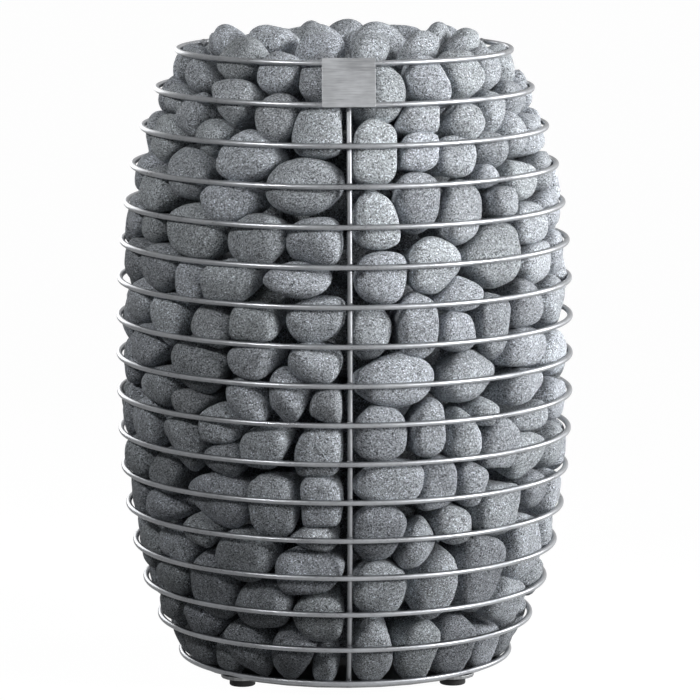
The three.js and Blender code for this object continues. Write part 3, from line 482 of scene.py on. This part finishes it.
def rod_along(path, plane_normal, rod):
    """Round rod with domed ends along points in a plane"""
    last = len(path) - 1
    tangents = [(path[min(i + 1, last)] - path[max(i - 1, 0)]).normalized() for i in range(last + 1)]
    start, end = tangents[0], tangents[-1]
    rows = [(path[0] - start * rod / 2 * math.sin(a), start, math.cos(a)) for a in ROD_DOME]
    rows += [(point, tangent, 1.0) for point, tangent in zip(path, tangents)]
    rows += [(path[-1] + end * rod / 2 * math.sin(a), end, math.cos(a)) for a in reversed(ROD_DOME)]
    vertices = []
    for point, tangent, share in rows:
        across = plane_normal.cross(tangent)
        for side in range(ROD_SIDES):
            angle = 2 * math.pi * side / ROD_SIDES
            offset = plane_normal * math.sin(angle) - across * math.cos(angle)
            vertices.append(point + offset * (rod / 2 * share))
    faces = grid_faces(len(rows), ROD_SIDES)
    faces.append(tuple(range(ROD_SIDES - 1, -1, -1)))
    faces.append(tuple(range((len(rows) - 1) * ROD_SIDES, len(rows) * ROD_SIDES)))
    return vertices, faces


def unit_sphere(subdivisions):
    """Directions that are spread evenly, and the faces between them"""
    mesh = bmesh.new()
    bmesh.ops.create_icosphere(mesh, subdivisions=subdivisions, radius=1)
    directions = np.array([vertex.co[:] for vertex in mesh.verts])
    faces = [tuple(vertex.index for vertex in face.verts) for face in mesh.faces]
    mesh.free()
    return directions, faces


# Frame helpers
def nodes_named(start):
    return sorted(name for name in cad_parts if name.startswith(start))


def node_points(node):
    return np.array([vertex.co[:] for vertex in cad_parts[node].data.vertices])


def node_middle(node):
    low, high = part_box(node)
    return [(a + b) / 2 for a, b in zip(low, high)]


# Cage
def ring_line(node):
    """Radius and height of the line that a ring's rod follows"""
    low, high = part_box(node)
    return high[0] - RING_ROD / 2, (low[2] + high[2]) / 2


ring_names = nodes_named("ring_")
rings = [ring_line(name) for name in ring_names]
for name, line in zip(ring_names, rings):
    add_piece(f"{name}_rod", *ring_rod(*line, RING_ROD), ROD_STEEL, "cage_steel", [name])
levels = np.array([height for _, height in rings][::-1])
radii = np.array([radius for radius, _ in rings][::-1])


def smooth_radius(height):
    """The cage's barrel line through the rings, by local parabolas"""
    index = int(np.clip(np.searchsorted(levels, height), 1, len(levels) - 2))
    near = slice(index - 1, index + 2)
    return float(np.polyval(np.polyfit(levels[near], radii[near], 2), height))


def rib_line(node):
    """Directions out to a rib and across it, and how far its line lies inside the rings' line"""
    outward = Vector((*node_middle(node)[:2], 0)).normalized()
    sideways = Vector((-outward.y, outward.x, 0))
    reach = max(Vector((*vertex.co[:2], 0)).dot(outward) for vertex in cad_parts[node].data.vertices)
    return outward, sideways, smooth_radius(levels[len(levels) // 2]) - reach + RIB_ROD / 2


def rib_rod(node, outward, sideways, inset):
    """Rod that runs up inside the rings"""
    low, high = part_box(node)
    heights = np.linspace(low[2] + RIB_ROD / 2, high[2] - RIB_ROD / 2, RIB_STEPS_PER_RING * len(rings))
    path = [outward * (smooth_radius(z) - inset) + Vector((0, 0, z)) for z in heights]
    return rod_along(path, sideways, RIB_ROD)


def weld_beads(outward, sideways):
    """Uneven beads where a rib meets the rings"""
    sphere, faces = unit_sphere(WELD_SPHERE)
    along, deep, tall = WELD_HALF
    beads = []
    for radius, height in rings:
        place = outward * (radius - RING_ROD / 2) + Vector((0, 0, height))
        uneven = 1 + WELD_ROUGHNESS * bead_draws.standard_normal(len(sphere))
        points = [
            place + (sideways * (x * along) + outward * (y * deep) + Vector((0, 0, z * tall))) * share
            for (x, y, z), share in zip(sphere, np.clip(uneven, *WELD_RANGE))
        ]
        beads.append((points, faces))
    return join(beads)


ribs = []
bead_draws = np.random.default_rng(SEED)
for name in nodes_named("rib_"):
    outward, sideways, inset = rib_line(name)
    ribs.append((np.array(outward), np.array(sideways), inset))
    add_piece(f"{name}_rod", *rib_rod(name, outward, sideways, inset), RIB_STEEL, "cage_steel", [name])
    add_piece(f"{name}_welds", *weld_beads(outward, sideways), RIB_STEEL, "cage_steel")


# Sheets
def softened(node, name, material, slot, edge, corner=0):
    """A node's solid with its edges broken, and the short edges of a plate's corners rounded before"""
    mesh = bmesh.new()
    mesh.from_mesh(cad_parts[node].data)
    bmesh.ops.remove_doubles(mesh, verts=mesh.verts, dist=SAME_POINT)
    bmesh.ops.dissolve_limit(mesh, angle_limit=FLAT, verts=mesh.verts, edges=mesh.edges)
    if corner:
        short = SHORT_EDGE * min(side.calc_length() for side in mesh.edges)
        corners = [side for side in mesh.edges if side.calc_length() < short]
        bmesh.ops.bevel(
            mesh, geom=corners, offset=corner, segments=CORNER_SEGMENTS, profile=0.5, affect="EDGES",
        )
    sharp = [side for side in mesh.edges if side.calc_face_angle(0) > SHARP]
    bmesh.ops.bevel(mesh, geom=sharp, offset=edge, segments=EDGE_SEGMENTS, profile=0.5, affect="EDGES")
    vertices = [vertex.co.copy() for vertex in mesh.verts]
    mesh.verts.index_update()
    faces = [[vertex.index for vertex in face.verts] for face in mesh.faces]
    mesh.free()
    piece = add_piece(name, vertices, faces, material, slot, [node])
    piece.data.set_sharp_from_angle(angle=CREASE)


softened("name_plate", "front_plate", PLATE_STEEL, "cage_steel", PLATE_EDGE, PLATE_CORNER)


# Feet
def foot_cup(place):
    """Rubber foot: a cup with rounded edges, in which the stud's end turns"""
    pad = f"foot_pad_{place}"
    low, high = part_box(pad)
    outer = (high[1] - low[1]) / 2
    wall = outer - PAD_WALL
    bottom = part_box(f"foot_stud_{place}")[0][2] - PAD_GAP
    profile = [(0, low[2])]
    turns = [(math.sin(angle), math.cos(angle)) for angle in QUARTER]
    profile += [(outer - PAD_FILLET * (1 - s), low[2] + PAD_FILLET * (1 - c)) for s, c in turns]
    profile += [(outer - PAD_LIP * (1 - c), high[2] - PAD_LIP * (1 - s)) for s, c in turns]
    profile += [(wall + PAD_LIP * (1 - s), high[2] - PAD_LIP * (1 - c)) for s, c in turns]
    profile += [(wall, bottom + PAD_LIP), (wall - PAD_LIP, bottom), (0, bottom)]
    cup = revolve(profile, node_middle(pad)[:2], PAD_SEGMENTS)
    add_piece(f"foot_cup_{place}", *cup, RUBBER, "rubber", [pad], f"pad_{place}")


def foot_screw(place):
    """Threaded stud of a foot"""
    stud = f"foot_stud_{place}"
    middle = node_middle(f"foot_pad_{place}")[:2]
    low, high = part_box(stud)
    radius = (high[0] - low[0]) / 2
    turns = (high[2] - low[2]) / THREAD_PITCH
    rows = int(turns * THREAD_STEPS)
    vertices = [(*middle, low[2])]
    for row in range(rows + 1):
        phases = [(turns * row / rows - step / THREAD_SEGMENTS) % 1.0 for step in range(THREAD_SEGMENTS)]
        reaches = [radius - THREAD_DEPTH * abs(2 * phase - 1) for phase in phases]
        vertices += around(middle, low[2] + (high[2] - low[2]) * row / rows, reaches)
    vertices.append((*middle, high[2]))
    faces = capped_faces(rows + 1, THREAD_SEGMENTS)
    add_piece(f"foot_screw_{place}", vertices, faces, BASE_STEEL, "base_steel", [stud], f"stud_{place}")


for place in FEET:
    foot_cup(place)
    foot_screw(place)


# Underside
def grommet_piece():
    """Moulded cable grommet: two flanges and a neck, with broken edges"""
    middle = np.array(node_middle("cable_grommet")[:2])
    points = node_points("cable_grommet")
    reaches = np.unique(np.round(np.hypot(*(points[:, :2] - middle).T), GROMMET_DIGITS))
    bore, neck, flange = reaches[[0, len(reaches) // 2, -1]]
    low, under, over, high = np.unique(np.round(points[:, 2], GROMMET_DIGITS))
    edge = GROMMET_EDGE

    def flange_profile(bottom, top):
        return [(flange - edge, bottom), (flange, bottom + edge), (flange, top - edge), (flange - edge, top)]

    profile = [*flange_profile(low, under), (neck, under), (neck, over), *flange_profile(over, high)]
    profile += [(bore + edge, high), (bore, high - edge), (bore, low + edge), (bore + edge, low)]
    vertices = []
    for radius, height in profile:
        vertices += around(middle, height, [radius] * GROMMET_SEGMENTS)
    faces = grid_faces(len(profile), GROMMET_SEGMENTS, wrap_rows=True)
    piece = add_piece("grommet", vertices, faces, RUBBER, "rubber", ["cable_grommet"])
    piece.data.set_sharp_from_angle(angle=SHARP)


def cover_screws():
    """Hexagon heads that hold the wiring cover, each on a washer face"""
    low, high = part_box("box_cover")
    ring = (high[0] - low[0]) / 2 - SCREW_INSET
    middle = np.array(node_middle("box_cover")[:2])
    cover = low[2]
    seat = cover - SCREW_WASHER
    end = seat - SCREW_HEIGHT
    face = SCREW_HEAD * SCREW_FACE
    reach = SCREW_HEAD * SCREW_WASHER_REACH
    washer = [(0, seat), (reach, seat), (reach, cover), (0, cover)]
    hexagon = [(0, end), (face, end), (SCREW_HEAD, end + SCREW_HEAD - face), (SCREW_HEAD, seat), (0, seat)]
    heads = []
    for step in range(SCREW_COUNT):
        turn = 2 * math.pi * (step + 0.5) / SCREW_COUNT
        place = middle + ring * np.array([math.cos(turn), math.sin(turn)])
        heads.append(revolve(washer, place, SCREW_SEGMENTS))
        heads.append(revolve(hexagon, place, SCREW_SIDES))
    piece = add_piece("cover_screws", *join(heads), BASE_STEEL, "base_steel")
    piece.data.set_sharp_from_angle(angle=CREASE)


softened("base_plate", "base_sheet", BASE_STEEL, "base_steel", SHEET_EDGE)
softened("box_cover", "cover_sheet", BASE_STEEL, "base_steel", SHEET_EDGE)
grommet_piece()
cover_screws()

# Solids out of sight keep their shape and get a finish
finishes = {"terminal_box": BASE_STEEL, "earth_stud": BASE_STEEL, "terminal_block": CERAMIC}
finishes.update({name: ELEMENT_STEEL for name in nodes_named("heating_element_")})
for name, finish in finishes.items():
    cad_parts[name].material_slots[0].material = finish


# Stones, which are first told apart in the solids
def solid_of(node):
    """Points and triangles of a node's solid, with one point for each place"""
    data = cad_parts[node].data
    places = {}
    index_of = []
    for vertex in data.vertices:
        place = tuple(round(part, POINT_DIGITS) for part in vertex.co)
        index_of.append(places.setdefault(place, len(places)))
    data.calc_loop_triangles()
    faces = [tuple(index_of[corner] for corner in triangle.vertices) for triangle in data.loop_triangles]
    return np.array(list(places)), faces


def joining_patches(points, faces):
    """Sides of the small even triangles inside a solid at which its stones are joined"""
    outside = {frozenset(face) for face in faces}
    beside = {}
    for face in faces:
        for corner in face:
            beside.setdefault(corner, set()).update(set(face) - {corner})
    sides = set()
    for a in beside:
        for b in beside[a]:
            length = np.linalg.norm(points[a] - points[b])
            if a < b and length < CONTACT_EDGE:
                for c in beside[a] & beside[b]:
                    others = [np.linalg.norm(points[c] - points[a]), np.linalg.norm(points[c] - points[b])]
                    even = max(abs(other - length) for other in others) < CONTACT_TOLERANCE * length
                    if even and frozenset((a, b, c)) not in outside:
                        sides.update((frozenset((a, b)), frozenset((a, c)), frozenset((b, c))))
    return sides


def sides_of(face):
    return [frozenset(pair) for pair in zip(face, face[1:] + face[:1])]


def stones_of(node):
    """Corner points of each stone of a node, whose solid is cut at its joining patches"""
    points, faces = solid_of(node)
    cuts = joining_patches(points, faces)
    joined = {corner for side in cuts for corner in side}
    owners = {}
    for number, face in enumerate(faces):
        for side in sides_of(face):
            owners.setdefault(side, set()).add(number)
    left = set(range(len(faces)))
    stones = []
    while left:
        queue = [min(left)]
        left -= set(queue)
        corners = set()
        while queue:
            face = faces[queue.pop()]
            corners.update(face)
            for side in sides_of(face):
                if side not in cuts:
                    found = owners[side] & left
                    left -= found
                    queue.extend(found)
        stones.append(points[sorted(corners - joined)])
    return stones


# Shape of a stone
def hull_of(points):
    mesh = bmesh.new()
    for point in points:
        mesh.verts.new(point)
    bmesh.ops.convex_hull(mesh, input=mesh.verts)
    return mesh


def cut_back(points, planes):
    """Corners of what is left of a hull behind some planes, each a normal and an offset"""
    for normal, offset in planes:
        mesh = hull_of(points)
        parts = [*mesh.verts, *mesh.edges, *mesh.faces]
        bmesh.ops.bisect_plane(
            mesh, geom=parts, plane_co=normal * offset, plane_no=normal, clear_outer=True,
        )
        kept = np.array([vertex.co[:] for vertex in mesh.verts if vertex.link_faces])
        mesh.free()
        if len(kept) > 3:
            points = kept
    return points


def hull_planes(points):
    """Unit normals, offsets, areas and middles of the faces of the hull of some points"""
    mesh = hull_of(points)
    mesh.normal_update()
    least = LEAST_FACE * sum(face.calc_area() for face in mesh.faces)
    faces = [face for face in mesh.faces if face.calc_area() > least]
    faces.sort(key=lambda face: -face.calc_area())
    normals = np.array([face.normal[:] for face in faces])
    centers = np.array([face.calc_center_median()[:] for face in faces])
    areas = np.array([face.calc_area() for face in faces])
    mesh.free()
    groups = []
    for index, normal in enumerate(normals):
        group = next((group for group in groups if normals[group[0]] @ normal > math.cos(ONE_FACE)), None)
        if group is None:
            groups.append([index])
        else:
            group.append(index)
    whole = np.array([areas[group].sum() for group in groups])
    middles = np.array([(centers[group] * areas[group, None]).sum(axis=0) for group in groups])
    middles /= whole[:, None]
    facing = normals[[group[0] for group in groups]]
    return facing, (facing * middles).sum(axis=1), whole, middles


def beside_ribs(middle):
    """Planes that keep a stone on its own side of a rib"""
    planes = []
    for outward, sideways, _ in ribs:
        aside = middle @ sideways
        if middle @ outward > 0 and BEHIND_RIB < abs(aside) < BESIDE_RIB:
            clear = CLEAR_OF_RIB["right" if aside > 0 else "left"]
            planes.append((-np.sign(aside) * sideways, -(RIB_ROD / 2 + clear)))
    return planes


def reaching_down(points, middle):
    """Corners of a stone, of which those below its middle are stretched down to the base plate"""
    lowest = points[:, 2].min()
    below = np.maximum(middle[2] - points[:, 2], 0)
    heights = points[:, 2] - below * (lowest - base_top) / (middle[2] - lowest)
    return np.column_stack([points[:, :2], heights])


def rounded(points, sphere, power):
    """Middle of a hull, and the smooth shape round it that fills the hull"""
    normals, offsets, areas, centers = hull_planes(points)
    middle = (centers * areas[:, None]).sum(axis=0) / areas.sum()
    room = np.maximum(offsets - normals @ middle, STONE_LEAST_ROOM)
    facing = np.maximum(sphere @ normals.T, 0) / room
    reach = (facing ** power).sum(axis=1) ** (-1 / power)
    shape = sphere * reach[:, None]
    support = (shape @ normals.T).max(axis=0)
    return middle, shape * (STONE_FIT * ((room / support) * areas).sum() / areas.sum())


def lumpy(shape, sphere, seed):
    """Lumps and dents on a stone, whose points go out as those of the sphere"""
    shift = Vector([seed * part for part in LUMP_SHIFT])
    heights = []
    for point in shape:
        at = Vector(point)
        lump = noise.noise(at / LUMP_SIZE + shift) * LUMP_HEIGHT
        heights.append(lump + noise.noise(at / DENT_SIZE + shift) * DENT_HEIGHT)
    return shape + sphere * np.array(heights)[:, None]


def settled(shape, radial):
    """A stone moved out until it rests against the rings and ribs that it meets"""
    distance = np.hypot(shape[:, 0], shape[:, 1])
    line = np.interp(shape[:, 2], levels, radii)
    room = min(SETTLE_MOST, (line + SETTLE_PAST_CAGE - distance).min())
    for radius, height in rings:
        rise = np.abs(shape[:, 2] - height)
        near = rise < RING_ROD / 2
        if near.any():
            inner = radius - np.sqrt((RING_ROD / 2) ** 2 - rise[near] ** 2)
            room = min(room, (inner - distance[near]).min())
    for outward, sideways, inset in ribs:
        near = (np.abs(shape @ sideways) < RIB_ROD / 2) & (shape @ outward > 0)
        if near.any():
            room = min(room, (line[near] - inset - RIB_ROD / 2 - shape[near] @ outward).min())
    return shape + radial * room


def pebble(points, sphere, seed, in_cage):
    """A smooth, slightly lumpy stone that fills the room of a hull"""
    middle = points.mean(axis=0)
    rests = points[:, 2].min() < base_top + REST_REACH
    if rests:
        points = reaching_down(points, middle)
    if in_cage:
        radial = np.array([middle[0], middle[1], 0])
        radial /= np.linalg.norm(radial)
        inner_face = (-radial, STONE_DEPTH - (points @ radial).max())
        points = cut_back(points, [inner_face, *beside_ribs(middle)])
    power = stone_draws.uniform(*(STONE_POWER if in_cage else CROWN_POWER))
    middle, shape = rounded(points, sphere, power)
    shape = lumpy(shape, sphere, seed) + middle
    if rests:
        shape[:, 2] -= shape[:, 2].min() - base_top
    return settled(shape, radial) if in_cage else shape


# Pieces of stones
def stone_piece(name, shapes, faces, nodes=()):
    """Several stones, each with its own shade, hue and grain on the points of its mesh"""
    piece = add_piece(name, *join([(shape, faces) for shape in shapes]), STONE, "stone", nodes)
    shades, hues, shifts = [], [], []
    for shape in shapes:
        count = len(shape)
        shades += [float(np.clip(stone_draws.normal(1.0, SHADE_SPREAD), *SHADE_RANGE))] * count
        hues += [float(stone_draws.random())] * count
        shifts += list(stone_draws.random(3)) * count
    for attribute, kind, field, values in (
        ("shade", "FLOAT", "value", shades),
        ("hue", "FLOAT", "value", hues),
        ("grain_shift", "FLOAT_VECTOR", "vector", shifts),
    ):
        layer = piece.data.attributes.new(attribute, kind, "POINT")
        layer.data.foreach_set(field, values)


def outer_stones():
    """Stones of the cage and the crown, one piece for each node"""
    sphere, faces = unit_sphere(STONE_SPHERE)
    seed = 0
    for node in nodes_named("stone_"):
        shapes = []
        for points in stones_of(node):
            seed += 1
            shapes.append(pebble(points, sphere, seed, node.startswith("stone_layer")))
        stone_piece(node.replace("stone_", "stones_"), shapes, faces, [node])


def inner_stones():
    """Stones behind and under the outer ones, seen only through the gaps between these"""
    sphere, faces = unit_sphere(FILL_SPHERE)
    rows = [(height, FILL_RING, FILL_COUNT) for height in np.arange(FILL_LOW, FILL_HIGH, FILL_STEP)]
    rows[0] = (FILL_LOW, FILL_ROUND_BOX, FILL_COUNT)
    shapes = []
    for row, (height, ring, count) in enumerate(rows + FILL_UNDER_CROWN):
        for step in range(count):
            turn = 2 * math.pi * (step + 0.5 * (row % 2)) / count
            radial = np.array([math.sin(turn), -math.cos(turn), 0])
            axes = np.array([[math.cos(turn), math.sin(turn), 0], radial, [0, 0, 1]])
            half = np.array(FILL_HALF) * stone_draws.uniform(*FILL_UNEVEN, 3)
            rise = height + stone_draws.uniform(-FILL_SHIFT, FILL_SHIFT)
            shape = lumpy((sphere * half) @ axes, sphere @ axes, len(shapes))
            shapes.append(shape + (radial * ring + np.array([0, 0, rise])))
    stone_piece("stones_inner", shapes, faces)


base_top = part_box("base_plate")[1][2]
stone_draws = np.random.default_rng(SEED)
outer_stones()
inner_stones()


# Floor, light and camera
def seen_directly(tree, direction, outward):
    """Share of the white studio that a ray shows: all to the camera or through glass, by side to metal"""
    path = add_node(tree, "ShaderNodeLightPath")
    turn = math.radians(BRIGHT_SIDE)
    side = add_node(tree, "ShaderNodeVectorMath", operation="DOT_PRODUCT")
    side.inputs[1].default_value = (outward * math.sin(turn), -outward * math.cos(turn), 0)
    tree.links.new(direction, side.inputs[0])
    level = remap(tree, side.outputs["Value"], *SIDE_SPAN, DARK_SIDE, 1.0)
    shown = math_of(tree, "MULTIPLY", path.outputs["Is Glossy Ray"], level)
    seen = math_of(tree, "MAXIMUM", path.outputs["Is Camera Ray"], shown)
    return math_of(tree, "MAXIMUM", seen, path.outputs["Is Transmission Ray"])


def floor_piece():
    """Pale floor that looks white and keeps the heater's shadow"""
    half = FLOOR_SIZE / 2
    corners = [(-half, -half, 0), (half, -half, 0), (half, half, 0), (-half, half, 0)]
    mesh = bpy.data.meshes.new("floor")
    mesh.from_pydata(corners, [], [(0, 1, 2, 3)])
    floor = add_object("floor", mesh)
    material, tree, shader = new_material("pale_floor")
    shader.inputs["Base Color"].default_value = FLOOR_ALBEDO
    shader.inputs["Roughness"].default_value = FLOOR_ROUGHNESS
    shader.inputs["Specular IOR Level"].default_value = 0.0
    shader.inputs["Emission Color"].default_value = WHITE
    incoming = add_node(tree, "ShaderNodeNewGeometry").outputs["Incoming"]
    glow = math_of(tree, "MULTIPLY", seen_directly(tree, incoming, -1), FLOOR_GLOW)
    tree.links.new(glow, shader.inputs["Emission Strength"])
    mesh.materials.append(material)


def world_light():
    """Dim even light from all round, brighter overhead"""
    world = bpy.data.worlds.new("studio")
    bpy.context.scene.world = world
    world.use_nodes = True
    tree = world.node_tree
    coords = add_node(tree, "ShaderNodeTexCoord")
    axes = add_node(tree, "ShaderNodeSeparateXYZ")
    tree.links.new(coords.outputs["Generated"], axes.inputs["Vector"])
    level = remap(tree, axes.outputs["Z"], 0, 1, AMBIENT_LOW, AMBIENT_HIGH)
    soft = add_node(tree, "ShaderNodeBackground", {"Color": AMBIENT_COLOR})
    tree.links.new(level, soft.inputs["Strength"])
    plain = add_node(tree, "ShaderNodeBackground", {"Color": WHITE, "Strength": 1.0})
    mix = add_node(tree, "ShaderNodeMixShader")
    tree.links.new(seen_directly(tree, coords.outputs["Generated"], 1), mix.inputs["Fac"])
    tree.links.new(soft.outputs["Background"], mix.inputs[1])
    tree.links.new(plain.outputs["Background"], mix.inputs[2])
    tree.links.new(mix.outputs["Shader"], tree.nodes["World Output"].inputs["Surface"])


def area_light(name, azimuth, elevation, distance, size, aim, spread, power):
    """Soft lamp at some azimuth from the front, towards +X"""
    light = bpy.data.lights.new(name, "AREA")
    light.energy = power
    light.shape = "RECTANGLE"
    light.size, light.size_y = size
    light.spread = math.radians(spread)
    lamp = add_object(name, light)
    turn, rise = math.radians(azimuth), math.radians(elevation)
    away = Vector((math.cos(rise) * math.sin(turn), -math.cos(rise) * math.cos(turn), math.sin(rise)))
    lamp.location = Vector((0, 0, aim)) + away * distance
    lamp.rotation_euler = away.to_track_quat("Z", "Y").to_euler()


def camera():
    """The photograph's view"""
    data = bpy.data.cameras.new("camera")
    data.lens = LENS
    data.sensor_width = SENSOR
    data.sensor_fit = "HORIZONTAL"
    data.clip_end = CAMERA_REACH
    eye = add_object("camera", data)
    eye.location = (
        -CAMERA_DISTANCE * math.sin(CAMERA_TURN),
        -CAMERA_DISTANCE * math.cos(CAMERA_TURN),
        CAMERA_HEIGHT,
    )
    focal_px = LENS / SENSOR * IMAGE_WIDTH
    aim = -CAMERA_TURN + math.atan(AXIS_OFFSET_PX / focal_px)
    eye.rotation_euler = (math.pi / 2 - CAMERA_TILT, CAMERA_ROLL, aim)
    bpy.context.scene.camera = eye


floor_piece()
world_light()
for name, setting in LIGHTS.items():
    area_light(name, **setting)
camera()
bpy.context.scene.view_settings.view_transform = "Standard"
